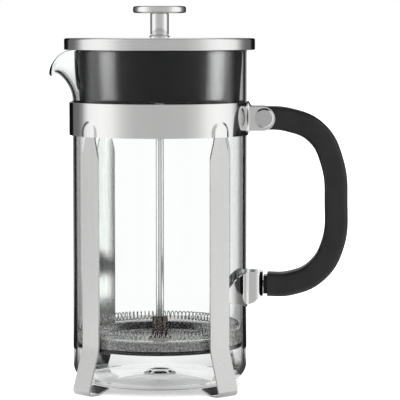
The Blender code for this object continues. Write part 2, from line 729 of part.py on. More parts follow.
def make_filter(builder):
    """From below: nut, cross plate, screen, dished plate with the edge spring, and the hub."""
    rim_low, cross_low, cross_high = CROSS_PLATE_Z
    cross = [
        (STACK_HOLE_R, cross_high),
        (FILTER_R - 0.0004, cross_high),
        (FILTER_R, cross_high - 0.0004),
        (FILTER_R, rim_low),
        (FILTER_R - 0.0008, rim_low),
        (FILTER_R - 0.0008, cross_low),
        (STACK_HOLE_R, cross_low),
    ]
    ob = turned(builder, "cross_plate", cross, steel("cross_plate", 0.2), TURN_STEPS, True)
    places = ring_of_holes(0.0130, 6, cross_low) + ring_of_holes(0.0270, 6, cross_low, math.pi / 6)
    tool = bars("cross_plate_holes", places, 0.0052, 0.010, 12)
    builder.cut(ob, builder.cutter("cross_plate_holes", tool))

    screen_low, screen_high = SCREEN_Z
    floor = screen_low + SCREEN_SHEET
    screen = [
        (STACK_HOLE_R, floor),
        (FILTER_R - SCREEN_SHEET, floor),
        (FILTER_R - SCREEN_SHEET, screen_high),
        (FILTER_R, screen_high),
        (FILTER_R, screen_low),
        (STACK_HOLE_R, screen_low),
    ]
    mesh_steel = principled("screen_steel", DARK_STEEL, 1.0, 0.35)
    turned(builder, "mesh_screen", screen, mesh_steel, TURN_STEPS, True)

    dish_low, rim = PLATE_Z
    edge = FILTER_R - SCREEN_SHEET - 2 * GAP
    foot, shoulder = PLATE_SLOPE_R
    lean = PLATE_SHEET / 2  # keeps the slope as thick as the sheet
    dish = [
        (STACK_HOLE_R, dish_low + PLATE_SHEET),
        (foot, dish_low + PLATE_SHEET),
        (shoulder, rim + PLATE_SHEET),
        (edge, rim + PLATE_SHEET),
        (edge, rim),
        (shoulder + lean, rim),
        (foot + lean, dish_low),
        (STACK_HOLE_R, dish_low),
    ]
    ob = turned(builder, "perforated_plate", dish, steel("plate", 0.2), TURN_STEPS, True)
    places = ring_of_holes(0.0130, 10, dish_low) + ring_of_holes(0.0255, 18, dish_low)
    tool = bars("plate_holes", places, 0.0026, 0.010, 8)
    builder.cut(ob, builder.cutter("plate_holes", tool))

    coil = arc(SPRING_RING_R, SPRING_Z, SPRING_WIRE_COIL_R, 90, -225, 7)
    turned(builder, "edge_spring", coil, steel("spring", 0.2), TURN_STEPS, True)

    hub_low = dish_low + PLATE_SHEET + GAP
    bore = ROD_R + GAP
    hub = [
        (bore, HUB_TOP_Z),
        (HUB_R - 0.0006, HUB_TOP_Z),
        (HUB_R, HUB_TOP_Z - 0.0006),
        (HUB_R, hub_low + HUB_FLANGE),
        (HUB_FLANGE_R, hub_low + HUB_FLANGE),
        (HUB_FLANGE_R, hub_low),
        (bore, hub_low),
    ]
    turned(builder, "filter_hub", hub, steel("hub", 0.15), SMALL_STEPS, True)

    nut_low = ROD_LOW_Z + 0.0002
    height = cross_low - GAP - nut_low
    nut_at = Matrix.Translation((0.0, 0.0, nut_low + height / 2))
    hex_nut(builder, "filter_nut", HUB_R, height, bore, nut_at, steel("filter_nut", 0.25))


def main():
    clear_scene()
    builder = Builder("french_press")
    make_band(builder)
    for name, angle in LEG_ANGLES.items():
        make_leg(builder, name, angle)
    make_strap(builder)
    make_handle(builder)
    make_fasteners(builder)
    make_beaker(builder)
    seat_z = make_lid(builder)
    make_knob(builder, seat_z)
    make_rod(builder)
    make_filter(builder)
    bpy.context.view_layer.update()


main()
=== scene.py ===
"""The looks of the french press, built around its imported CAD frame.

A finer mesh stands for each CAD node, at the place the frame gives, and every material is made of nodes.
Units are metres, +Z is up, the handle points to +X and the spout to -X.
"""

from math import atan, atan2, cos, degrees, exp, hypot, pi, radians, sin, sqrt, tan

import bmesh
import bpy
from mathutils import Matrix, Vector


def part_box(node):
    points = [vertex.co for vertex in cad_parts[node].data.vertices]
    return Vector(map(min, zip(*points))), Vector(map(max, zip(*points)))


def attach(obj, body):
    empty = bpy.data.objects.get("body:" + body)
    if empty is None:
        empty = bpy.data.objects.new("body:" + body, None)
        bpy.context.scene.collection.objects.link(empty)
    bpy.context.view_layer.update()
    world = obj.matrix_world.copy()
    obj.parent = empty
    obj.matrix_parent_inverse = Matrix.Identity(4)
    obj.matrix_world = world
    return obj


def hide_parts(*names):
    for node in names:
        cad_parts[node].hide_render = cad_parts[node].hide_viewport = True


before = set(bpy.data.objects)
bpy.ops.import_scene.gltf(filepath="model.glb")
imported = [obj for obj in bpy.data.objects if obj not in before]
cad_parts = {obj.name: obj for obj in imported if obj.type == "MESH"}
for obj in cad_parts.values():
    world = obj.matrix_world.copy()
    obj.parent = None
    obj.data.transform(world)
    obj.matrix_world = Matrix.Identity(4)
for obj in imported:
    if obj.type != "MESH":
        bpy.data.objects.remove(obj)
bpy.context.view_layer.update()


# ---- sizes read from the frame
def low(node):
    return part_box(node)[0]


def high(node):
    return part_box(node)[1]


def centre(node):
    return (low(node) + high(node)) / 2


def heights(node):
    return low(node).z, high(node).z


def radius(node, axis=1):
    """Half the width of a turned node, along Y unless another axis is given."""
    return (high(node)[axis] - low(node)[axis]) / 2


AXIS = Vector((centre("plunger_rod").x, 0.0, 0.0))  # the beaker's own axis, on the floor


def reach(node):
    """How far a node reaches from the beaker's axis towards the handle."""
    return high(node).x - AXIS.x


GAP = 0.0003  # kept between pieces that touch
SHEET = 0.0009  # thickness of the frame's steel strip

GLASS_R = radius("glass_beaker")
GLASS_WALL = 0.0020
GLASS_LOW, GLASS_RIM = heights("glass_beaker")
GLASS_CORNER_R = 0.0100
PUSH_UP = 0.0024  # how far the middle of its base is raised
BASE_THICKER = 0.0003  # in the middle, and nothing from the next radius on
BASE_EVEN_R = 0.0340
FOOT_RING = (0.0058, 0.0008, 0.0014)  # radius, width and height of the mark in the base
SPOUT_ROOT_Z = 0.1581
SPOUT_HALF_ANGLE = radians(27)
SPOUT_REACH = 0.0119
SPOUT_REACH_POWER = 1.71  # how its reach grows with the height above its root
SPOUT_DROP = 0.0158
SPOUT_DROOP = 0.35  # the share of its drop that comes only near the rim
SPOUT_DROP_POWER, SPOUT_DROOP_POWER = 1.23, 9.9

BAND_LOW, BAND_TOP = heights("frame_band")
BAND_R = radius("frame_band") - SHEET / 2  # middle of the strip
POCKET_DEPTH = 0.0008
POCKET_HALF = 0.0050  # half its width
POCKET_TOP = 0.1467
POCKET_EDGE = 0.0011  # half the width of its sloping side
EAR_R = 0.0066  # half its height, and the radius of its end
EAR_BEND_R = 0.0022
HANDLE_WIDTH = high("handle").y - low("handle").y
CLAMP = centre("clamp_bolt")

LEG_ANGLES = {
    "front_left_leg": radians(-135),
    "front_right_leg": radians(-45),
    "rear_left_leg": radians(135),
    "rear_right_leg": radians(45),
}
LEG_R = 0.04895  # middle of the strip, on the straight stretch
LEG_TOP = high("front_left_leg").z
LEG_WIDTH = 0.0135
LEG_NECK_WIDTH = 0.0078
LEG_NECK_Z = (0.1275, 0.1385)
LEG_HEAD_STEPS = 12  # rows of faces above the neck
FLARE_ANGLE = radians(17)
FLARE_BEND_R = 0.0140
FOOT_R = 0.0557
FOOT_BEND_R = 0.0022
FOOT_FLAT = 0.0030
TAB_TIP_R = 0.0420
TAB_TIP_Z = 0.00315

HANDLE_DEPTH = 0.0127
HANDLE_CORNER_R = 0.0030
HANDLE_TOP_START = 0.0515
HANDLE_LOW_START = reach("handle_strap") + GAP
HANDLE_LOW_Z = 0.0566
HANDLE_ROUTE = (
    (HANDLE_TOP_START, 0.1482), (0.0709, 0.1471), (0.0862, 0.1400), (0.0948, 0.1240), (0.0970, 0.1020),
    (0.0950, 0.0780), (0.0862, 0.0638), (0.0725, 0.0573), (HANDLE_LOW_START, HANDLE_LOW_Z),
)
HANDLE_SPLIT_Z = 0.1  # between its upper and its lower end
TENON_LENGTH = 0.0021  # the narrower end that meets the bow
TENON_STEP = 0.0013
TENON_CORNER_R = 0.0022

STRAP_NOSE_X = reach("handle_strap")
STRAP_NOSE_HALF = 0.0080  # half its width
STRAP_CORNER_R = 0.0048
STRAP_RISE = 0.0040  # how much higher its lower edge is at the nose
STRAP_BEND_R = 0.0020
STRAP_NOSE_Z = heights("handle_strap")
STRAP_END_Z = (0.0494, 0.0573)
STRAP_DIP = 0.0014  # how much lower its lower edge is at the bend
STRAP_DIP_X = (LEG_R - 0.0015, LEG_R + 0.0012)  # where it comes up again towards the nose
STRAP_TOP_POWER = 2.4  # how late its upper edge comes down to the leg

LID_R = radius("lid_cover")
LID_LOW, LID_TOP = heights("lid_cover")
LID_SHEET = 0.0008
SKIRT_LOW = low("lid_skirt").z
SKIRT_TOP_R = 0.0456
SKIRT_LOW_R = 0.0439
SKIRT_WALL = 0.0020
SKIRT_PLATE = 0.0025
SLOTS = 9  # the strainer's, in the skirt
SLOT_PITCH = radians(5)
SLOT_WIDTH = 0.0018
SLOT_END_R = 0.00088
SLOT_Z = (0.1640, 0.1800)
BUSH_R = 0.0030
BUSH_BORE_R = 0.0025

ROD_R = radius("plunger_rod")
KNOB_R, (KNOB_LOW, KNOB_TOP) = radius("knob"), heights("knob")
KNOB_DISC = 0.0041
KNOB_NECK_R = 0.0051

FILTER_R = radius("cross_plate")
CROSS_LOW, CROSS_TOP = heights("cross_plate")
CROSS_SHEET = 0.0008
CROSS_FLAT_R = 0.0360  # of the stretch with the openings
CROSS_HOLE_R = 0.0052
CROSS_HOLE_RINGS = ((0.0130, 0.0), (0.0270, pi / 6))  # radius, and angle of the first opening
CROSS_HOLES = 6  # in each ring
SCREEN_LOW, SCREEN_TOP = heights("mesh_screen")
WIRE_R = 0.00013  # of the woven screen
SCREEN_PITCH = 0.00075
PLATE_LOW, PLATE_TOP = heights("perforated_plate")
PLATE_SHEET = 0.0006
PLATE_SLOPE_R = (0.0335, 0.0390)
PLATE_HOLE_R = 0.00085
PLATE_HOLE_PITCH = 0.0028
PLATE_HOLES_FROM = 0.0078
PLATE_HOLES_MARGIN = 0.0018  # between the last holes' middles and the slope
COIL_R = 0.0026
COIL_RING_R = 0.0420
COIL_Z = centre("edge_spring").z
COIL_TURNS = 116
COIL_WIRE_R = 0.00030
HUB_R = 0.0042
HUB_FLANGE = 0.0009
STACK_HOLE_R = 0.0026

# ---- the studio
CAMERA_TURN = radians(4.335)  # round the beaker, from straight in front towards the handle
CAMERA_DISTANCE = 1.1703
CAMERA_HEIGHT = 0.19876
CAMERA_HEADING = radians(3.25)
CAMERA_DIP = radians(4.697)
CAMERA_LENS = 191.5
STUDIO_R = 0.55
STUDIO_TOP = 0.75
STUDIO_GROUND = 0.0004  # the lowest stretch of each ring, just over the floor
NEAR_R, UNDER_R = 0.15, 0.05  # for the glass, the ground has other tones inside these
# brightness of the studio's wall by the share of a half turn away from the camera's side
STEEL_SIDE = (
    (0.0, 0.52), (0.17, 0.54), (0.25, 0.68), (0.34, 1.0), (0.41, 1.09), (0.5, 1.04), (0.55, 0.95),
    (0.59, 0.6), (0.62, 0.32), (0.67, 0.17), (0.76, 0.14), (0.775, 0.006), (0.915, 0.006), (0.925, 1.0),
)
# the same on the handle's side, with a darker flag
BAND_RIGHT = STEEL_SIDE[:7] + ((0.6, 0.45), (0.625, 0.02), (0.915, 0.006), (0.925, 1.0))
GLASS_SIDE = (
    (0.0, 0.78), (0.2, 0.82), (0.33, 0.95), (0.41, 1.8), (0.55, 1.8), (0.59, 0.6),
    (0.63, 0.05), (0.76, 0.015), (0.855, 0.008), (0.868, 0.4), (0.915, 0.6), (0.925, 1.12),
)
GLASS_NEAR = ((0.0, 0.55), (0.35, 0.6), (0.5, 0.08), (0.74, 0.05), (0.8, 0.85), (1.0, 1.05))
GLASS_UNDER = ((0.0, 0.6), (0.35, 0.82), (0.8, 1.05))
PANEL = ((0.0, 0.42), (1.0, 0.42))  # one grey all round


# ---- small helpers
def mix(a, b, t):
    return a + (b - a) * t


def smoothstep(x, start, end):
    """0 before start, 1 past end, and an even S between."""
    t = min(max((x - start) / (end - start), 0.0), 1.0)
    return t * t * (3 - 2 * t)


def arc(cx, cy, r, start, end, steps):
    """Points along a circle, from one angle in degrees to another."""
    angles = [radians(mix(start, end, k / steps)) for k in range(steps + 1)]
    return [(cx + r * cos(a), cy + r * sin(a)) for a in angles]


def turns(count):
    """The angles that share a full turn evenly."""
    return [2 * pi * k / count for k in range(count)]


def polar(r, angle, z=0.0):
    return Vector((r * cos(angle), r * sin(angle), z))


def rounded(corners, steps=4):
    """An outline through corners of (r, z, fillet radius); a corner without a radius stays sharp."""
    made = []
    for i, corner in enumerate(corners):
        here = Vector(corner[:2])
        if len(corner) < 3:
            made.append(tuple(here))
            continue
        fillet = corner[2]
        back = (Vector(corners[i - 1][:2]) - here).normalized()
        on = (Vector(corners[(i + 1) % len(corners)][:2]) - here).normalized()
        half = back.angle(on) / 2
        start = here + back * (fillet / tan(half))
        end = here + on * (fillet / tan(half))
        middle = here + (back + on).normalized() * (fillet / sin(half))
        spoke = start - middle
        sweep = spoke.angle_signed(end - middle)
        for k in range(steps + 1):
            made.append(tuple(middle + Matrix.Rotation(-sweep * k / steps, 2) @ spoke))
    return made


def lathe(profile, steps=96, closed=False, bm=None):
    """A profile of (r, z), running down its outer side, turned about Z."""
    bm = bm or bmesh.new()
    rings = []
    for r, z in profile:
        if r < 1e-6:
            rings.append([bm.verts.new((0.0, 0.0, z))] * steps)
        else:
            rings.append([bm.verts.new(polar(r, a, z)) for a in turns(steps)])
    for upper, lower in neighbours(rings, closed):
        for k in range(steps):
            n = (k + 1) % steps
            corners = [upper[k], lower[k], lower[n], upper[n]]
            face = [v for i, v in enumerate(corners) if v is not corners[i - 1]]
            if len(face) > 2:
                bm.faces.new(face)
    return bm


def grid(columns, rows, place):
    """An open sheet of columns by rows faces, whose corner (i, j) lies at place(i, j)."""
    bm = bmesh.new()
    verts = [[bm.verts.new(place(i, j)) for j in range(rows + 1)] for i in range(columns + 1)]
    for i in range(columns):
        for j in range(rows):
            bm.faces.new((verts[i][j], verts[i + 1][j], verts[i + 1][j + 1], verts[i][j + 1]))
    return bm


def neighbours(rings, closed):
    """Each ring with the next one."""
    return list(zip(rings, rings[1:])) + ([(rings[-1], rings[0])] if closed else [])


def bridge(bm, a, b):
    """Faces between two closed loops with as many corners."""
    for k in range(len(a)):
        n = (k + 1) % len(a)
        bm.faces.new((a[k], a[n], b[n], b[k]))


def tube(bm, points, r, sides, closed=False):
    """A round wire through the points."""
    count = len(points)
    rings = []
    side = None
    for i, here in enumerate(points):
        before = points[i - 1] if closed or i else here
        after = points[(i + 1) % count] if closed or i < count - 1 else here
        ahead = (after - before).normalized()
        side = ahead.orthogonal() if side is None else side - ahead * side.dot(ahead)
        side.normalize()
        up = ahead.cross(side)
        ring = [side * cos(a) + up * sin(a) for a in turns(sides)]
        rings.append([bm.verts.new(here + spoke * r) for spoke in ring])
    for a, b in neighbours(rings, closed):
        bridge(bm, a, b)
    if not closed:
        bm.faces.new(list(reversed(rings[0])))
        bm.faces.new(rings[-1])


def as_mesh(name, bm):
    mesh = bpy.data.meshes.new(name)
    bm.to_mesh(mesh)
    bm.free()
    return mesh


def in_scene(name, data):
    ob = bpy.data.objects.new(name, data)
    bpy.context.scene.collection.objects.link(ob)
    return ob


def applied(ob):
    """The mesh that an object comes to, with its modifiers or its curve worked out."""
    bpy.context.view_layer.update()
    return bpy.data.meshes.new_from_object(ob.evaluated_get(bpy.context.evaluated_depsgraph_get()))


shown = []  # every piece made so far


def piece(name, bm, material, body, nodes=(), turn=0.0, sharp=38):
    """A shown piece made of this mesh, with its own origin on the beaker's axis."""
    bmesh.ops.recalc_face_normals(bm, faces=bm.faces)
    mesh = as_mesh(name, bm)
    mesh.shade_smooth()
    mesh.set_sharp_from_angle(angle=radians(sharp))
    mesh.materials.append(material)
    ob = in_scene(name, mesh)
    ob.matrix_world = Matrix.Translation(AXIS) @ Matrix.Rotation(turn, 4, "Z")
    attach(ob, body)
    if nodes:
        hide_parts(*nodes)
    shown.append(ob)
    return ob


def turned(name, corners, material, body, node, steps=64, closed=True, fillet_steps=4):
    """A piece turned about the beaker's axis, from the corners of its profile."""
    profile = rounded(corners, fillet_steps)
    return piece(name, lathe(profile, steps, closed), material, body, [node])


def mirrored_strip(name, node, columns, rows, place):
    """Half of a bent strip and its mirror image, across the plane through spout and handle."""
    ob = piece(name, grid(columns, rows, place), BAND_STEEL, "frame", [node])
    step = ob.modifiers.new("other_half", "MIRROR")
    step.use_axis = (False, True, False)
    step.use_clip = True
    step.merge_threshold = 0.00003
    sheet_metal(ob)


def broken_edges(ob, width, segments, sharpest):
    bevel = ob.modifiers.new("edges", "BEVEL")
    bevel.width = width
    bevel.segments = segments
    bevel.limit_method = "ANGLE"
    bevel.angle_limit = radians(sharpest)
    return bevel


def sheet_metal(ob, edge=0.00016):
    """Gives an open surface thickness and broken edges. A second material is for its inner side."""
    solid = ob.modifiers.new("sheet", "SOLIDIFY")
    solid.thickness = SHEET
    solid.material_offset = len(ob.data.materials) - 1
    solid.offset = 0.0
    solid.use_even_offset = True
    broken_edges(ob, edge, 2, 50).harden_normals = True


def cut(ob, tools):
    """Takes a hidden solid out of a piece and applies the cut."""
    tool = in_scene(ob.name + "_tool", as_mesh(ob.name + "_tool", tools))
    tool.matrix_world = ob.matrix_world
    step = ob.modifiers.new("cut", "BOOLEAN")
    step.operation = "DIFFERENCE"
    step.object = tool
    done = applied(ob)
    ob.modifiers.remove(step)
    bpy.data.objects.remove(tool, do_unlink=True)
    ob.data = done


ALONG_Y = Matrix.Rotation(radians(90), 4, "X")


# ---- materials
def add_node(tree, kind, out, inputs=None, **settings):
    """A node with these sockets set to a value or linked to another socket. Gives the named output."""
    made = tree.nodes.new(kind)
    for key, value in settings.items():
        setattr(made, key, value)
    for socket, value in (inputs or {}).items():
        if isinstance(value, bpy.types.NodeSocket):
            tree.links.new(value, made.inputs[socket])
        else:
            made.inputs[socket].default_value = value
    return made.outputs[out]


class Look:
    """A material with one Principled shader, and short names for adding nodes to it."""

    def __init__(self, name, colour, metallic, roughness):
        self.material = bpy.data.materials.new(name)
        self.material.use_nodes = True
        self.tree = self.material.node_tree
        self.shader = self.tree.nodes["Principled BSDF"]
        self.colour = colour
        self.set("Base Color", (*colour, 1.0))
        self.set("Metallic", metallic)
        self.set("Roughness", roughness)

    def set(self, socket, value):
        self.shader.inputs[socket].default_value = value

    def node(self, kind, out, inputs=None, **settings):
        return add_node(self.tree, kind, out, inputs, **settings)

    def drive(self, socket, value):
        self.tree.links.new(value, self.shader.inputs[socket])

    def place(self):
        """The piece's own coordinates."""
        return self.node("ShaderNodeTexCoord", "Object")

    def stretched(self, scale):
        """The piece's own coordinates, times a scale for each axis."""
        return self.node("ShaderNodeMapping", "Vector", {"Scale": scale, "Vector": self.place()})

    def round_lines(self, scale):
        """Coordinates that change with the radius and the height, but hardly round the axis."""
        hardly = 1.5
        parts = self.node("ShaderNodeSeparateXYZ", "X", {"Vector": self.place()}).node.outputs
        x, y, z = parts["X"], parts["Y"], parts["Z"]
        flat = self.node("ShaderNodeCombineXYZ", "Vector", {"X": x, "Y": y})
        length = self.node("ShaderNodeVectorMath", "Value", {0: flat}, operation="LENGTH")
        angle = self.node("ShaderNodeMath", "Value", {0: y, 1: x}, operation="ARCTAN2")
        scaled = [
            self.node("ShaderNodeMath", "Value", {0: source, 1: factor}, operation="MULTIPLY")
            for source, factor in ((length, scale), (angle, hardly), (z, scale))
        ]
        return self.node("ShaderNodeCombineXYZ", "Vector", dict(zip("XYZ", scaled)))

    def noise(self, vector, scale, detail=2.0, rough=0.5):
        inputs = {"Scale": scale, "Detail": detail, "Roughness": rough, "Vector": vector}
        return self.node("ShaderNodeTexNoise", "Fac", inputs)

    def between(self, value, low_to, high_to):
        """A value that mostly lies from 0.3 to 0.7, spread over another range."""
        inputs = {"From Min": 0.3, "From Max": 0.7, "To Min": low_to, "To Max": high_to, "Value": value}
        return self.node("ShaderNodeMapRange", "Result", inputs)

    def vary(self, value, roughness):
        """Roughness that follows a texture."""
        self.drive("Roughness", self.between(value, *roughness))

    def tint(self, value, dark, light):
        """Base colour that follows a texture, from one colour to another."""
        inputs = {"A": (*dark, 1.0), "B": (*light, 1.0), "Factor": self.between(value, 0.0, 1.0)}
        self.drive("Base Color", self.node("ShaderNodeMix", "Result", inputs, data_type="RGBA"))

    def darken(self, value, share):
        """Base colour that follows a texture, down to this share of the material's own."""
        self.tint(value, [share * c for c in self.colour], self.colour)

    def bump(self, value, height, strength):
        """Fine relief of this height in metres."""
        inputs = {"Strength": strength, "Distance": height, "Height": value}
        self.drive("Normal", self.node("ShaderNodeBump", "Normal", inputs))


def polished_steel(name, colour=(0.86, 0.86, 0.855), roughness=(0.03, 0.07)):
    """Mirror finish: faint polishing marks, and a few duller patches from handling."""
    look = Look(name, colour, 1.0, roughness[0])
    patches = look.noise(look.stretched((1, 1, 1)), 55, 3)
    look.vary(patches, roughness)
    look.bump(look.noise(look.stretched((900, 900, 120)), 1.0), 0.000001, 0.35)
    return look.material


def turned_steel(name, colour, roughness, scale=2600, depth=0.000004):
    """Brushed while it turned: fine rings on flats and fine lines round the sides."""
    look = Look(name, colour, 1.0, roughness[0])
    lines = look.noise(look.round_lines(scale), 1.0, 3, 0.6)
    look.vary(lines, roughness)
    look.bump(lines, depth, 0.5)
    look.darken(lines, 0.93)
    return look.material


def strip_steel(name, colour, roughness):
    """Satin strip, brushed along its length."""
    look = Look(name, colour, 1.0, roughness[0])
    lines = look.noise(look.stretched((2600, 2600, 25)), 1.0, 3, 0.6)
    look.vary(lines, roughness)
    look.bump(lines, 0.000004, 0.5)
    look.darken(look.noise(look.stretched((40, 40, 14)), 1.0, 3), 0.94)
    return look.material


def wire_steel(name, colour, roughness):
    """Drawn wire and punched sheet: a grey that changes a little from place to place."""
    look = Look(name, colour, 1.0, roughness[0])
    grain = look.noise(look.place(), 800, 3)
    look.vary(grain, roughness)
    look.darken(grain, 0.35)
    look.bump(grain, 0.00001, 0.4)
    return look.material


def clear_glass(name):
    """Borosilicate glass with the slight waves of a blown beaker."""
    look = Look(name, (0.985, 0.995, 0.99), 0.0, 0.0)
    look.set("IOR", 1.473)
    look.set("Transmission Weight", 1.0)
    look.set("Specular Tint", (0.15, 0.15, 0.15, 1.0))
    look.bump(look.noise(look.stretched((1, 1, 0.35)), 45, 1), 0.00002, 0.25)
    inputs = {"Color": (0.55, 0.56, 0.555, 1.0), "Density": 60.0}
    body = look.node("ShaderNodeVolumeAbsorption", "Volume", inputs)
    look.tree.links.new(body, look.tree.nodes["Material Output"].inputs["Volume"])
    return look.material


def gloss_black(name):
    """Moulded gloss plastic, with a trace of orange peel."""
    look = Look(name, (0.004, 0.004, 0.0042), 0.0, 0.16)
    look.set("Specular IOR Level", 0.14)
    peel = look.noise(look.place(), 260, 2)
    look.vary(peel, (0.19, 0.24))
    look.bump(peel, 0.000012, 0.3)
    return look.material


def matt_black(name):
    """The handle's satin plastic: a fine spark-eroded grain and slightly worn, shinier patches."""
    look = Look(name, (0.011, 0.011, 0.0113), 0.0, 0.5)
    look.set("Specular IOR Level", 0.34)
    grain = look.noise(look.place(), 2200, 3, 0.6)
    look.vary(look.noise(look.place(), 38, 3), (0.40, 0.54))
    look.tint(look.noise(look.place(), 90, 4), (0.009, 0.009, 0.0093), (0.013, 0.013, 0.0133))
    look.bump(grain, 0.00004, 0.35)
    return look.material


def floor_paint(name):
    look = Look(name, (0.97, 0.97, 0.97), 0.0, 0.9)
    look.set("Emission Color", (1.0, 1.0, 1.0, 1.0))
    look.set("Emission Strength", 0.4)
    look.tint(look.noise(look.place(), 3, 2), (0.965, 0.965, 0.965), (0.975, 0.975, 0.975))
    return look.material


MIRROR = polished_steel("polished_steel")
BAND_STEEL = polished_steel("band_steel", (0.84, 0.84, 0.835), (0.04, 0.09))
ROD_STEEL = polished_steel("rod_steel", (0.86, 0.86, 0.855), (0.20, 0.28))
LID_STEEL = turned_steel("lid_steel", (0.84, 0.84, 0.835), (0.08, 0.17))
HEAD_STEEL = turned_steel("head_steel", (0.72, 0.72, 0.715), (0.14, 0.30), 3400, 0.00001)
LEG_STEEL = strip_steel("leg_steel", (0.64, 0.64, 0.635), (0.22, 0.34))
INNER_STEEL = strip_steel("inner_steel", (0.84, 0.84, 0.835), (0.10, 0.20))
FILTER_STEEL = wire_steel("filter_steel", (0.86, 0.86, 0.85), (0.14, 0.32))
SPRING_STEEL = wire_steel("spring_steel", (0.92, 0.92, 0.915), (0.06, 0.16))
# painted shade: the cross plate's steel is made nearly black so that it reads as the shade along its lower
# rim
SHADED_RIM_STEEL = turned_steel("rim_steel_painted_shade", (0.05, 0.05, 0.05), (0.18, 0.32))
HUB_STEEL = turned_steel("hub_steel", (0.125, 0.098, 0.093), (0.20, 0.34), 3000)
GLASS = clear_glass("clear_glass")
SKIRT_BLACK = gloss_black("gloss_black")
HANDLE_BLACK = matt_black("handle_black")


# ---- studio
def make_camera():
    """Where the press is seen from: near its own height, a little to the handle's side."""
    data = bpy.data.cameras.new("camera")
    data.lens = CAMERA_LENS
    data.clip_end = 50.0
    ob = in_scene("camera", data)
    turn = CAMERA_TURN - radians(90)
    ob.location = AXIS + polar(CAMERA_DISTANCE, turn, CAMERA_HEIGHT)
    ob.rotation_euler = (radians(90) - CAMERA_DIP, 0.0, CAMERA_HEADING)
    bpy.context.scene.camera = ob


def stage_object(name, bm, material):
    ob = in_scene(name, as_mesh(name, bm))
    ob.data.materials.append(material)
    return ob


def reflected_only(ob):
    """Hides a part of the studio from the camera and diffuse light. It casts no shadow either."""
    ob.visible_camera = ob.visible_diffuse = ob.visible_shadow = False


def make_floor():
    half_width = 12.0
    bm = bmesh.new()
    bmesh.ops.create_grid(bm, x_segments=1, y_segments=1, size=half_width)
    stage_object("floor", bm, floor_paint("floor_paint")).visible_glossy = False


def glowing(name, left, right, clear):
    """A glow that follows the angle away from the camera's side. A clear one adds to what lies behind it."""
    tones = [(0.5 - share / 2, tone) for share, tone in reversed(left)]
    tones += [(0.5 + share / 2, tone) for share, tone in right[1:]]
    brightest = max(tone for _, tone in tones)
    material = bpy.data.materials.new(name)
    material.use_nodes = True
    tree = material.node_tree
    tree.nodes.remove(tree.nodes["Principled BSDF"])
    place = add_node(tree, "ShaderNodeTexCoord", "Object")
    turn = add_node(tree, "ShaderNodeTexGradient", "Fac", {"Vector": place}, gradient_type="RADIAL")
    colour = add_node(tree, "ShaderNodeValToRGB", "Color", {"Fac": turn})
    stops = colour.node.color_ramp.elements
    stops.remove(stops[1])
    for k, (at, tone) in enumerate(tones):
        stop = stops[k] if k < 1 else stops.new(at)
        stop.position = at
        stop.color = (*([tone / brightest] * 3), 1.0)
    surface = add_node(tree, "ShaderNodeEmission", "Emission", {"Strength": brightest, "Color": colour})
    if clear:
        behind = add_node(tree, "ShaderNodeBsdfTransparent", "BSDF")
        surface = add_node(tree, "ShaderNodeAddShader", "Shader", {0: surface, 1: behind})
    tree.links.new(surface, tree.nodes["Material Output"].inputs["Surface"])
    return material


def make_ring(name, profile, left, right, clear, lit):
    """Part of the round studio, seen only in reflections and through glass."""
    ob = stage_object(name, lathe(profile, 128), glowing(name, left, right, clear))
    ob.location = AXIS
    track = ob.constraints.new("LOCKED_TRACK")
    track.target = bpy.context.scene.camera
    track.track_axis = "TRACK_X"
    track.lock_axis = "LOCK_Z"
    reflected_only(ob)
    light_only(ob, lit, name)


def light_only(lamp, pieces, name):
    """Keeps a lamp's light to these pieces."""
    lit = bpy.data.collections.new(name)
    for ob in pieces:
        lit.objects.link(ob)
    lamp.light_linking.receiver_collection = lit


def share_light(pieces):
    """Keeps each part of the studio to the materials that show it.

    Steel has one ring, and the band another with a flag by the handle. The glass and the black plastic have
    a bright backdrop with dark sides, and the lid's steel a grey panel overhead.
    """

    def named(*names):
        return [ob for ob in pieces if ob.name in names]

    glass = [ob for ob in pieces if ob.data.materials[0] in (GLASS, SKIRT_BLACK)]
    band = named("band")
    steel = [ob for ob in pieces if ob not in glass + band]
    outer_r, inner_r = STUDIO_R + 0.03, STUDIO_R - 0.04
    wall = [(STUDIO_R, STUDIO_TOP), (STUDIO_R, STUDIO_GROUND), (0.0, STUDIO_GROUND)]
    make_ring("ring_for_steel", wall, STEEL_SIDE, STEEL_SIDE, True, steel)
    wall = [(inner_r, STUDIO_TOP), (inner_r, STUDIO_GROUND), (0.0, 2 * STUDIO_GROUND)]
    make_ring("ring_for_band", wall, STEEL_SIDE, BAND_RIGHT, True, band)
    ground = STUDIO_GROUND / 2
    for name, profile, tones in (
        ("ring_for_glass", [(outer_r, STUDIO_TOP), (outer_r, ground), (NEAR_R, ground)], GLASS_SIDE),
        ("near_ground_for_glass", [(NEAR_R, ground), (UNDER_R, ground)], GLASS_NEAR),
        ("ground_under_glass", [(UNDER_R, ground), (0.0, ground)], GLASS_UNDER),
    ):
        make_ring(name, profile, tones, tones, False, glass)
    panel_r, panel_z = STUDIO_R - 0.05, STUDIO_TOP - 0.01
    lid = named("lid_cap", "knob_turned", "rod_bush")
    make_ring("panel_over_lid", [(panel_r, panel_z), (0.0, panel_z)], PANEL, PANEL, True, lid)
    ceiling = lathe([(outer_r, STUDIO_TOP), (0.0, STUDIO_TOP)], 64)
    reflected_only(stage_object("dark_ceiling", ceiling, HANDLE_BLACK))
    make_plastic_lights(named("lid_insert"))


def area_lamp(name, place, size, power):
    data = bpy.data.lights.new(name, "AREA")
    data.size = size
    data.energy = power
    ob = in_scene(name, data)
    ob.location = place
    return ob


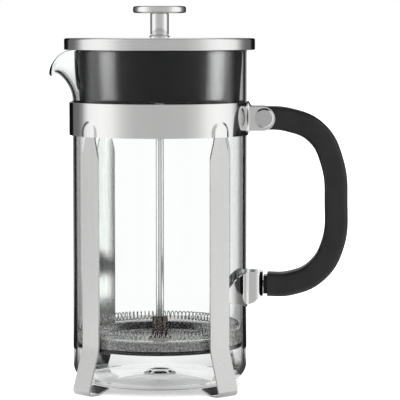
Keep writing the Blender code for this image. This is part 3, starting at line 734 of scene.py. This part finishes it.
def make_lights():
    """An even white surround, with a broad soft lamp above and one on each side."""
    world = bpy.data.worlds.new("surround")
    bpy.context.scene.world = world
    world.use_nodes = True
    background = world.node_tree.nodes["Background"].inputs
    background["Color"].default_value = (1.0, 1.0, 1.0, 1.0)
    background["Strength"].default_value = 1.0
    target = Vector((0.0, 0.0, 0.1))
    for name, place, size, power in (
        ("lamp_above", (0.0, -0.4, 2.4), 2.2, 26),
        ("lamp_left", (-1.9, -0.7, 1.1), 1.2, 9),
        ("lamp_right", (1.9, -0.7, 1.1), 1.2, 9),
    ):
        ob = area_lamp(name, place, size, power)
        ob.rotation_euler = (target - Vector(place)).to_track_quat("-Z", "Y").to_euler()
        ob.visible_glossy = ob.visible_transmission = False


def make_plastic_lights(pieces):
    """Two strip softboxes whose light is kept to the black plastic, as its own long highlights."""
    distance, middle_z, height = 0.5, 0.14, 0.26
    for name, turn, width, power in (("strip_left", -75, 0.19, 6.5), ("strip_right", 84, 0.22, 8.5)):
        away = CAMERA_TURN - radians(90) + radians(turn)
        ob = area_lamp(name, AXIS + polar(distance, away, middle_z), width, power)
        ob.data.shape = "RECTANGLE"
        ob.data.size_y = height
        ob.data.cycles.use_multiple_importance_sampling = False
        ob.rotation_euler = (radians(90), 0.0, away + radians(90))
        light_only(ob, pieces, name)


# ---- beaker
def spout_move(point):
    """Where a point of the plain wall goes when the spout is pulled out of it."""
    x, y, z = point
    turn = abs(atan2(y, -x))
    if turn >= SPOUT_HALF_ANGLE or z <= SPOUT_ROOT_Z or x >= 0:
        return Vector(point)
    near = 0.5 * (1 + cos(pi * turn / SPOUT_HALF_ANGLE))
    up = (z - SPOUT_ROOT_Z) / (GLASS_RIM - SPOUT_ROOT_Z)
    out = SPOUT_REACH * sin(near * pi / 2) * up**SPOUT_REACH_POWER
    sink = 1 - cos(near * pi / 2)
    drop = (1 - SPOUT_DROOP) * up**SPOUT_DROP_POWER + SPOUT_DROOP * up**SPOUT_DROOP_POWER
    down = SPOUT_DROP * sink * drop
    r = hypot(x, y)
    return Vector((x * (r + out) / r, y * (r + out) / r, z - down))


def base_wall(r):
    """Thickness of the glass in its base: a little thicker in the middle, with the ring left by its foot."""
    ring_r, ring_width, ring_height = FOOT_RING
    ring = ring_height * exp(-(((r - ring_r) / ring_width) ** 2))
    return GLASS_WALL + BASE_THICKER * (1 - smoothstep(r, 0.0, BASE_EVEN_R)) + ring


def make_beaker():
    steps, lip_steps = 288, 6
    half_wall = GLASS_WALL / 2
    rim = GLASS_RIM - half_wall
    profile = [(GLASS_R, mix(rim, SPOUT_ROOT_Z, k / 34)) for k in range(35)]
    profile += [(GLASS_R, mix(SPOUT_ROOT_Z, GLASS_LOW + GLASS_CORNER_R, k / 6)) for k in range(1, 6)]
    corner = GLASS_R - GLASS_CORNER_R
    profile += arc(corner, GLASS_LOW + GLASS_CORNER_R, GLASS_CORNER_R, 0, -90, 14)
    base = [mix(corner, 0.0, k / 24) for k in range(1, 25)]
    profile += [(r, GLASS_LOW + PUSH_UP * (1 - smoothstep(r, 0.0, corner))) for r in base]
    bm = lathe(profile, steps)
    for vert in bm.verts:
        vert.co = spout_move(vert.co)
    bmesh.ops.recalc_face_normals(bm, faces=bm.faces)
    bm.normal_update()
    outer = list(bm.verts)
    inner = {}
    for vert in outer:
        r = hypot(vert.co.x, vert.co.y)
        wall = base_wall(r) if r < corner else GLASS_WALL
        inner[vert] = bm.verts.new(vert.co - vert.normal * wall)
    for face in list(bm.faces):
        bm.faces.new([inner[v] for v in reversed(face.verts)])
    top, under = outer[:steps], outer[steps : 2 * steps]
    loops = [top]
    for k in range(1, lip_steps):
        a = pi * k / lip_steps
        loop = []
        for vert, below in zip(top, under):
            middle = (vert.co + inner[vert].co) / 2
            rise = (vert.co - below.co).normalized() * half_wall
            loop.append(bm.verts.new(middle + (vert.co - middle) * cos(a) + rise * sin(a)))
        loops.append(loop)
    loops.append([inner[v] for v in top])
    for a, b in zip(loops, loops[1:]):
        bridge(bm, a, b)
    ob = piece("beaker", bm, GLASS, "beaker", ["glass_beaker"], sharp=60)
    ob.visible_shadow = False
    return ob


# ---- frame
def from_leg(angle):
    """Distance along the band's half to the middle of its nearer leg."""
    return BAND_R * min(abs(angle - LEG_ANGLES[leg]) for leg in ("rear_left_leg", "rear_right_leg"))


def bend_out(strip_r, bend_r, y):
    """The middle of the bend by which a round strip turns out at this y, and the angle where it starts."""
    bend_y = y + bend_r
    bend_x = sqrt((strip_r + bend_r) ** 2 - bend_y**2)
    return bend_x, bend_y, atan2(bend_y, bend_x)


def band_plan():
    """Half of the band seen from above: x, y, outward normal, half the height, angle on the round."""
    ear_y = HANDLE_WIDTH / 2 + GAP + SHEET / 2
    bend_x, bend_y, meet = bend_out(BAND_R, EAR_BEND_R, ear_y)
    half = (BAND_TOP - BAND_LOW) / 2
    angles = []
    at = pi
    fine, coarse, shortest = 0.005, 0.024, 0.004  # steps round the band
    margin = 0.0012  # the fine steps reach this far past a pocket
    while at > meet + shortest:
        angles.append(at)
        at -= fine if from_leg(at) < POCKET_HALF + margin else coarse
    stations = [(*polar(BAND_R, a)[:2], cos(a), sin(a), half, a) for a in angles + [meet]]
    steps = 12
    for k in range(1, steps + 1):
        a = mix(pi + meet, 1.5 * pi, k / steps)
        x, y = bend_x + EAR_BEND_R * cos(a), bend_y + EAR_BEND_R * sin(a)
        height = mix(half, EAR_R, smoothstep(k / steps, 0.15, 1))
        stations.append((x, y, -cos(a), -sin(a), height, None))
    middle = reach("frame_band") - EAR_R
    steps = 18
    for k in range(steps + 1):
        a = radians(90 * (k / steps) ** 0.75)
        height = max(EAR_R * cos(a), 0.0004)
        stations.append((middle + EAR_R * sin(a), ear_y, 0.0, 1.0, height, None))
    return stations


def pocket_lift(angle, z):
    """How far the band is pressed out over a leg's top: a pocket with a round head."""
    if angle is None:
        return 0.0
    shoulder = POCKET_TOP - POCKET_HALF
    distance = hypot(from_leg(angle), max(z - shoulder, 0.0))
    edge = (POCKET_HALF - POCKET_EDGE, POCKET_HALF + POCKET_EDGE)
    return POCKET_DEPTH * (1 - smoothstep(distance, *edge))


def make_band():
    stations = band_plan()
    rows = 40
    middle = (BAND_TOP + BAND_LOW) / 2

    def place(i, j):
        x, y, nx, ny, half, angle = stations[i]
        z = middle + half * (2 * j / rows - 1)
        lift = pocket_lift(angle, z)
        return x + nx * lift, y + ny * lift, z

    mirrored_strip("band", "frame_band", len(stations) - 1, rows, place)


def leg_line():
    """The leg's middle line as (r, z), from the top down, round the foot and in to the tab's tip."""
    centre_r, centre_z = FOOT_R - FOOT_BEND_R, FOOT_BEND_R + SHEET / 2
    lean_cos, lean_sin = cos(FLARE_ANGLE), sin(FLARE_ANGLE)
    toe_r = centre_r + FOOT_BEND_R * lean_cos
    toe_z = centre_z + FOOT_BEND_R * lean_sin
    run = (toe_r - LEG_R - FLARE_BEND_R * (1 - lean_cos)) / lean_sin
    flare_z = toe_z + run * lean_cos + FLARE_BEND_R * lean_sin
    neck_low, neck_high = LEG_NECK_Z
    flare = degrees(FLARE_ANGLE)
    line = [(LEG_R, mix(LEG_TOP, neck_high, k / LEG_HEAD_STEPS)) for k in range(LEG_HEAD_STEPS)]
    line += [(LEG_R, mix(neck_high, neck_low, k / 16)) for k in range(16)]
    line += [(LEG_R, mix(neck_low, flare_z, k / 6)) for k in range(6)]
    line += arc(LEG_R + FLARE_BEND_R, flare_z, FLARE_BEND_R, 180, 180 + flare, 10)
    line += arc(centre_r, centre_z, FOOT_BEND_R, flare, -90, 14)
    heel_r = centre_r - FOOT_FLAT
    line += [(mix(heel_r, TAB_TIP_R, t), mix(SHEET / 2, TAB_TIP_Z, t**1.25)) for t in (0, 0.1, 0.3, 0.6, 1)]
    return line


def leg_half_width(index, z):
    """Half the strip's width: a round head and a neck in the band, full width below it."""
    neck_low, neck_high = LEG_NECK_Z
    grow = min(max((neck_high - z) / (neck_high - neck_low), 0.0), 1.0)
    ease = smoothstep(grow, -0.06, 1.06)
    half = mix(LEG_NECK_WIDTH, LEG_WIDTH, mix(grow, ease, 0.35)) / 2
    if index < LEG_HEAD_STEPS:
        head = LEG_NECK_WIDTH / 2
        drop = min((LEG_TOP - z) / head, 1.0)
        return max(half * sqrt(1 - (1 - drop) ** 2), 0.0006)
    return half


def make_legs():
    line = leg_line()
    across = (-1, -0.96, -0.88, -0.6, -0.3, 0, 0.3, 0.6, 0.88, 0.96, 1)

    def place(i, j):
        r, z = line[i]
        return r, leg_half_width(i, z) * across[j], z

    for name, angle in LEG_ANGLES.items():
        bm = grid(len(line) - 1, len(across) - 1, place)
        ob = piece(name + "_strip", bm, LEG_STEEL, "frame", [name], turn=angle)
        ob.data.materials.append(INNER_STEEL)
        sheet_metal(ob, edge=0.00032)


def strap_plan():
    """Half of the bow seen from above: x, y and the share of the way from the nose to the leg."""
    nose_x = STRAP_NOSE_X - SHEET / 2
    side_y = STRAP_NOSE_HALF - SHEET / 2
    corner_x, corner_y = nose_x - STRAP_CORNER_R, side_y - STRAP_CORNER_R
    points = [(nose_x, corner_y * k / 4, 0.0) for k in range(4)]
    points += [(x, y, 0.0) for x, y in arc(corner_x, corner_y, STRAP_CORNER_R, 0, 90, 14)]
    bend_x, bend_y, meet = bend_out(LEG_R, STRAP_BEND_R, side_y)
    meet = degrees(meet)
    points += [(x, y, 0.0) for x, y in arc(bend_x, bend_y, STRAP_BEND_R, 270, 180 + meet, 10)]
    end = 45 - degrees(atan((LEG_WIDTH / 2 + GAP) / LEG_R))
    for k in range(1, 25):
        points.append((*polar(LEG_R, radians(mix(meet, end, k / 24)))[:2], k / 24))
    return points


def make_strap():
    points = strap_plan()
    rows = 12

    def place(i, j):
        x, y, share = points[i]
        below = mix(STRAP_NOSE_Z[0] - STRAP_DIP, STRAP_END_Z[0], share)
        above = mix(STRAP_NOSE_Z[1], STRAP_END_Z[1], share**STRAP_TOP_POWER)
        below += STRAP_DIP * smoothstep(x, *STRAP_DIP_X)
        below += STRAP_RISE * smoothstep(x, STRAP_NOSE_X - STRAP_CORNER_R - 0.002, STRAP_NOSE_X)
        return x, y, mix(below, above, j / rows)

    mirrored_strip("bow", "handle_strap", len(points) - 1, rows, place)


def round_box(half_u, half_v, r):
    """A rectangle with round corners, as (u, v) points."""
    made = []
    for su, sv, start in ((1, 1, 0), (-1, 1, 90), (-1, -1, 180), (1, -1, 270)):
        made += arc(su * (half_u - r), sv * (half_v - r), r, start, start + 90, 6)
    return made


def prism(bm, outline, x_low, x_high, z, turn=0.0):
    """A closed bar along X with this outline round a height of z, turned about Z."""
    spin = Matrix.Rotation(turn, 3, "Z")
    ends = [[bm.verts.new(spin @ Vector((x, v, z + u))) for u, v in outline] for x in (x_low, x_high)]
    bridge(bm, *ends)
    for end in ends:
        bm.faces.new(end)


def flat_curve(name, outlines):
    """A 2D curve with closed outlines of (u, v) points."""
    data = bpy.data.curves.new(name, "CURVE")
    data.dimensions = "2D"
    for outline in outlines:
        spline = data.splines.new("POLY")
        spline.points.add(len(outline) - 1)
        for point, (u, v) in zip(spline.points, outline):
            point.co = (u, v, 0.0, 1.0)
        spline.use_cyclic_u = True
    return data


def swept_handle():
    """The C as one bar: a rounded section carried along a smooth curve."""
    outline = round_box(HANDLE_DEPTH / 2, HANDLE_WIDTH / 2, HANDLE_CORNER_R)
    section_ob = in_scene("handle_section", flat_curve("handle_section", [outline]))
    path = flat_curve("handle_path", [])
    path.fill_mode = "NONE"
    route = path.splines.new("BEZIER")
    route.bezier_points.add(len(HANDLE_ROUTE) - 1)
    route.resolution_u = 16
    for point, (x, z) in zip(route.bezier_points, HANDLE_ROUTE):
        point.co = (x, z, 0.0)
        point.handle_left_type = point.handle_right_type = "AUTO"
    path.bevel_mode = "OBJECT"
    path.bevel_object = section_ob
    path.use_fill_caps = True
    path_ob = in_scene("handle_path", path)
    path_ob.matrix_world = ALONG_Y
    mesh = applied(path_ob)
    mesh.transform(ALONG_Y)
    for ob in (section_ob, path_ob):
        bpy.data.objects.remove(ob, do_unlink=True)
    bm = bmesh.new()
    bm.from_mesh(mesh)
    bmesh.ops.remove_doubles(bm, verts=bm.verts, dist=0.00002)
    return bm


def make_handle():
    bm = swept_handle()
    shoulder = HANDLE_LOW_START + TENON_LENGTH
    for vert in bm.verts:
        if vert.co.x < HANDLE_TOP_START + 0.0015 and vert.co.z > HANDLE_SPLIT_Z:
            vert.co.x = HANDLE_TOP_START
        if vert.co.x < shoulder and vert.co.z < HANDLE_SPLIT_Z:
            vert.co.x = shoulder
    bmesh.ops.dissolve_degenerate(bm, edges=bm.edges, dist=0.00001)
    ob = piece("handle_bar", bm, HANDLE_BLACK, "frame", ["handle"], sharp=50)
    broken_edges(ob, 0.0005, 3, 60)
    half_depth, half_width = HANDLE_DEPTH / 2 - TENON_STEP, HANDLE_WIDTH / 2 - TENON_STEP
    outline = round_box(half_depth, half_width, TENON_CORNER_R)
    bm = bmesh.new()
    prism(bm, outline, HANDLE_LOW_START, shoulder + 0.0004, HANDLE_LOW_Z)
    piece("handle_tenon", bm, SKIRT_BLACK, "frame", sharp=50)


def hex_nut(name, body, node, across_r, z_low, z_high, bore):
    """A nut about Z: six sides with chamfered corners and a round bore."""
    bm = bmesh.new()
    chamfer, face_r = 0.0005, 0.90 * across_r
    angles = turns(48)

    def hex_r(angle):
        off = (angle + pi / 6) % (pi / 3) - pi / 6
        return across_r * cos(pi / 6) / cos(off)

    rings = []
    for z, most in (
        (z_high, face_r), (z_high - chamfer, across_r), (z_low + chamfer, across_r), (z_low, face_r)
    ):
        rings.append([bm.verts.new(polar(min(hex_r(a), most), a, z)) for a in angles])
    for z in (z_low, z_high):
        rings.append([bm.verts.new(polar(bore, a, z)) for a in angles])
    for upper, lower in neighbours(rings, True):
        bridge(bm, lower, upper)
    return piece(name, bm, HEAD_STEEL, body, [node])


def make_fasteners():
    head_r, face = radius("clamp_bolt", 0), HANDLE_WIDTH / 2 + GAP + SHEET + GAP
    front, end = -low("clamp_bolt").y, high("clamp_bolt").y
    shank, point = 0.0022, 0.0003
    corners = [
        (0.0, front), (head_r - 0.0010, front, 0.0003), (head_r, front - 0.0007, 0.0003),
        (head_r, face + 0.0005, 0.0002), (head_r - 0.0006, face), (shank, face),
        (shank, point - end), (shank - point, -end), (0.0, -end),
    ]
    bolt = turned("clamp_screw", corners, HEAD_STEEL, "frame", "clamp_bolt", closed=False)
    clamp = Matrix.Translation((CLAMP.x, 0.0, CLAMP.z))
    stand(bolt, clamp @ ALONG_Y)
    nut_low, nut_high = low("clamp_nut").y, high("clamp_nut").y
    nut = hex_nut("clamp_hex", "frame", "clamp_nut", head_r, nut_low, nut_high, shank + GAP)
    stand(nut, clamp @ ALONG_Y.inverted())
    screw_low, screw_high = low("lower_handle_screw"), high("lower_handle_screw")
    under = STRAP_NOSE_X - SHEET - GAP + AXIS.x
    crown, depth = under - screw_low.x, screw_high.x - under
    head_r, shank = 0.0036, 0.0020
    corners = [
        (0.0, crown), (0.0024, crown, 0.0009), (head_r, 0.0010, 0.0004), (head_r, 0.0),
        (shank, 0.0), (shank, 0.001 - depth), (0.0012, -depth), (0.0, -depth),
    ]
    node = "lower_handle_screw"
    screw = turned("lower_screw", corners, HEAD_STEEL, "frame", node, 40, False)
    facing = Matrix.Rotation(radians(-90), 4, "Y")
    stand(screw, Matrix.Translation((under, 0.0, HANDLE_LOW_Z)) @ facing)


def stand(ob, place):
    """Puts a piece of the frame at another place, and has it ride there."""
    ob.parent = None
    ob.matrix_world = place
    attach(ob, "frame")


# ---- lid
def make_lid():
    hole = BUSH_R + GAP
    inner, under = LID_R - LID_SHEET, LID_TOP - LID_SHEET
    cover = [
        (hole, LID_TOP), (LID_R, LID_TOP, 0.0012), (LID_R, LID_LOW, 0.0003),
        (inner, LID_LOW, 0.0003), (inner, under, 0.0004), (hole, under),
    ]
    turned("lid_cap", cover, LID_STEEL, "lid", "lid_cover", 192, fillet_steps=5)

    top = under - GAP
    plate = top - SKIRT_PLATE
    rest = GLASS_RIM + GAP
    skirt = [
        (hole, top), (inner - GAP, top, 0.0003), (inner - GAP, rest, 0.0002), (SKIRT_TOP_R, rest, 0.0002),
        (SKIRT_LOW_R, SKIRT_LOW, 0.0006), (SKIRT_LOW_R - SKIRT_WALL, SKIRT_LOW, 0.0006),
        (SKIRT_TOP_R - SKIRT_WALL, plate, 0.0008), (hole, plate),
    ]
    ob = turned("lid_insert", skirt, SKIRT_BLACK, "lid", "lid_skirt", 192)
    cut(ob, strainer_slots())
    ob.data.set_sharp_from_angle(angle=radians(38))

    bush_low, bush_top = heights("lid_bush")
    flange_r, flange_low = radius("lid_bush"), LID_TOP + GAP
    bush = [
        (BUSH_BORE_R, bush_top, 0.0002), (flange_r - 0.0006, bush_top, 0.0003),
        (flange_r, bush_top - 0.0007, 0.0002), (flange_r, flange_low),
        (BUSH_R, flange_low), (BUSH_R, bush_low), (BUSH_BORE_R, bush_low),
    ]
    turned("rod_bush", bush, MIRROR, "lid", "lid_bush")
    hex_nut("bush_nut", "lid", "lid_nut", radius("lid_nut", 0), *heights("lid_nut"), hole)


def strainer_slots():
    """Upright slots with round ends through the skirt, on the spout's side."""
    slot_low, slot_high = SLOT_Z
    half_height, middle = (slot_high - slot_low) / 2, (slot_low + slot_high) / 2
    outline = round_box(half_height, SLOT_WIDTH / 2, SLOT_END_R)
    past_wall = 0.006
    bm = bmesh.new()
    for k in range(SLOTS):
        turn = pi + (k - (SLOTS - 1) / 2) * SLOT_PITCH
        prism(bm, outline, SKIRT_LOW_R - past_wall, SKIRT_LOW_R + past_wall, middle, turn)
    bmesh.ops.recalc_face_normals(bm, faces=bm.faces)
    return bm


# ---- plunger
def make_knob():
    disc_low = KNOB_TOP - KNOB_DISC
    bore, bore_top = ROD_R + GAP, high("plunger_rod").z + GAP
    corners = [
        (0.0, KNOB_TOP), (KNOB_R, KNOB_TOP, 0.0013), (KNOB_R, disc_low, 0.0013),
        (KNOB_NECK_R, disc_low, 0.0005), (KNOB_NECK_R, KNOB_LOW, 0.0004),
        (bore, KNOB_LOW), (bore, bore_top), (0.0, bore_top),
    ]
    turned("knob_turned", corners, MIRROR, "plunger", "knob", 128, False, 7)


def make_rod():
    rod_low, rod_top = heights("plunger_rod")
    corners = [(0.0, rod_top), (ROD_R, rod_top, 0.0004), (ROD_R, rod_low, 0.0003), (0.0, rod_low)]
    turned("rod", corners, ROD_STEEL, "plunger", "plunger_rod", 48, False)


def disc_with_holes(outer, bore, holes, z_low, z_high):
    """A flat disc as a filled 2D curve. Each hole is (x, y, r)."""
    outlines = []
    for x, y, r, sides in [(0, 0, outer, 120), (0, 0, bore, 32)] + [(*h, 10) for h in holes]:
        around = [polar(r, a) for a in turns(sides)]
        outlines.append([(x + at.x, y + at.y) for at in around])
    data = flat_curve("disc", outlines)
    data.fill_mode = "BOTH"
    data.extrude = (z_high - z_low) / 2
    ob = in_scene("disc", data)
    bm = bmesh.new()
    bm.from_mesh(applied(ob))
    bpy.data.objects.remove(ob, do_unlink=True)
    bmesh.ops.remove_doubles(bm, verts=bm.verts, dist=0.000002)
    bmesh.ops.translate(bm, verts=bm.verts, vec=(0, 0, (z_low + z_high) / 2))
    return bm


def make_perforated_plate():
    """A dished disc full of small holes, with a plain sloping edge that carries the coil."""
    foot, shoulder = PLATE_SLOPE_R
    pitch, row = PLATE_HOLE_PITCH, PLATE_HOLE_PITCH * sqrt(3) / 2
    holes = []
    for i in range(-14, 15):
        for j in range(-15, 16):
            x, y = (i + (j % 2) / 2) * pitch, j * row
            if PLATE_HOLES_FROM < hypot(x, y) < foot - PLATE_HOLES_MARGIN:
                holes.append((x, y, PLATE_HOLE_R))
    bm = disc_with_holes(foot, STACK_HOLE_R, holes, PLATE_LOW, PLATE_LOW + PLATE_SHEET)
    edge, rim_low, lean = radius("perforated_plate"), PLATE_TOP - PLATE_SHEET, PLATE_SHEET / 2
    slope = [
        (foot, PLATE_LOW + PLATE_SHEET), (shoulder, PLATE_TOP, 0.0008), (edge, PLATE_TOP, 0.0002),
        (edge, rim_low, 0.0002), (shoulder + lean, rim_low, 0.0008), (foot + lean, PLATE_LOW),
        (foot, PLATE_LOW),
    ]
    lathe(rounded(slope), 120, True, bm)
    piece("perforated_disc", bm, FILTER_STEEL, "plunger", ["perforated_plate"], sharp=30)


def make_coil():
    """The spring round the plate's edge: one wire wound round a circle."""
    per_turn = 16
    count = COIL_TURNS * per_turn
    wire_r = COIL_R - COIL_WIRE_R
    points = []
    for k in range(count):
        turn = 2 * pi * k / count
        wind = 2 * pi * k / per_turn
        points.append(polar(COIL_RING_R + wire_r * cos(wind), turn, COIL_Z + wire_r * sin(wind)))
    bm = bmesh.new()
    tube(bm, points, COIL_WIRE_R, 6, closed=True)
    piece("coil_spring", bm, SPRING_STEEL, "plunger", ["edge_spring"], sharp=80)


def make_screen():
    """Woven wire cloth: a flat floor and an upright wall."""
    bm = bmesh.new()
    wall_r = FILTER_R - 2 * WIRE_R
    around = 2 * round(pi * wall_r / SCREEN_PITCH)
    levels = round((SCREEN_TOP - SCREEN_LOW) / SCREEN_PITCH)
    step = (SCREEN_TOP - SCREEN_LOW - 4 * WIRE_R) / levels

    def crossing(k, j, side):
        """Where upright wire k meets level wire j, on one side of it or the other in turn."""
        away = side * WIRE_R if (j + k) % 2 else -side * WIRE_R
        z = SCREEN_LOW + 2 * WIRE_R + j * step
        return polar(wall_r + away, 2 * pi * k / around, z)

    for k in range(around):
        tube(bm, [crossing(k, j, 1) for j in range(levels + 1)], WIRE_R, 4)
    for j in range(levels + 1):
        tube(bm, [crossing(k, j, -1) for k in range(around)], WIRE_R, 4, closed=True)
    count = int((wall_r - 0.0004) / SCREEN_PITCH)
    level_z, over_z = SCREEN_LOW + WIRE_R, SCREEN_LOW + 2.6 * WIRE_R
    for k in range(-count, count + 1):
        at = k * SCREEN_PITCH
        end = sqrt(wall_r**2 - at**2)
        gap = sqrt(max(STACK_HOLE_R**2 - at**2, 0.0))
        stretches = ((-end, -gap), (gap, end)) if gap else ((-end, end),)
        for stretch in stretches:
            tube(bm, [Vector((s, at, level_z)) for s in stretch], WIRE_R, 4)
        for stretch in stretches:
            tube(bm, [Vector((at, s, over_z)) for s in stretch], WIRE_R, 4)
    piece("woven_screen", bm, FILTER_STEEL, "plunger", ["mesh_screen"], sharp=80)


def make_cross_plate():
    """The bottom plate: large round openings, and a rim turned down."""
    under = CROSS_TOP - CROSS_SHEET
    holes = []
    for r, first in CROSS_HOLE_RINGS:
        for a in turns(CROSS_HOLES):
            at = polar(r, a + first)
            holes.append((at.x, at.y, CROSS_HOLE_R))
    bm = disc_with_holes(CROSS_FLAT_R, STACK_HOLE_R, holes, under, CROSS_TOP)
    inner = FILTER_R - CROSS_SHEET
    rim = [
        (CROSS_FLAT_R, CROSS_TOP), (FILTER_R, CROSS_TOP, 0.0005), (FILTER_R, CROSS_LOW, 0.0002),
        (inner, CROSS_LOW, 0.0002), (inner, under, 0.0003), (CROSS_FLAT_R, under),
    ]
    lathe(rounded(rim), 120, True, bm)
    # its steel is painted nearly black, as the shade along the turned-down rim
    piece("cross_disc", bm, SHADED_RIM_STEEL, "plunger", ["cross_plate"], sharp=30)


def make_hub():
    hub_low, hub_top = heights("filter_hub")
    flange_r, flange_top, bore = radius("filter_hub"), hub_low + HUB_FLANGE, ROD_R + GAP
    corners = [
        (bore, hub_top, 0.0002), (HUB_R, hub_top, 0.0008), (HUB_R, flange_top, 0.0004),
        (flange_r, flange_top, 0.0003), (flange_r, hub_low), (bore, hub_low),
    ]
    turned("hub", corners, HUB_STEEL, "plunger", "filter_hub")
    nut_r = radius("filter_nut")
    hex_nut("stack_nut", "plunger", "filter_nut", nut_r, *heights("filter_nut"), bore)


# ---- everything
bpy.context.scene.view_settings.view_transform = "Standard"
bpy.context.scene.view_settings.look = "None"
for make in (
    make_camera, make_lights, make_floor, make_beaker, make_band, make_legs, make_strap, make_handle,
    make_fasteners, make_lid, make_knob, make_rod, make_hub, make_perforated_plate, make_coil,
    make_screen, make_cross_plate,
):
    make()
share_light(shown)
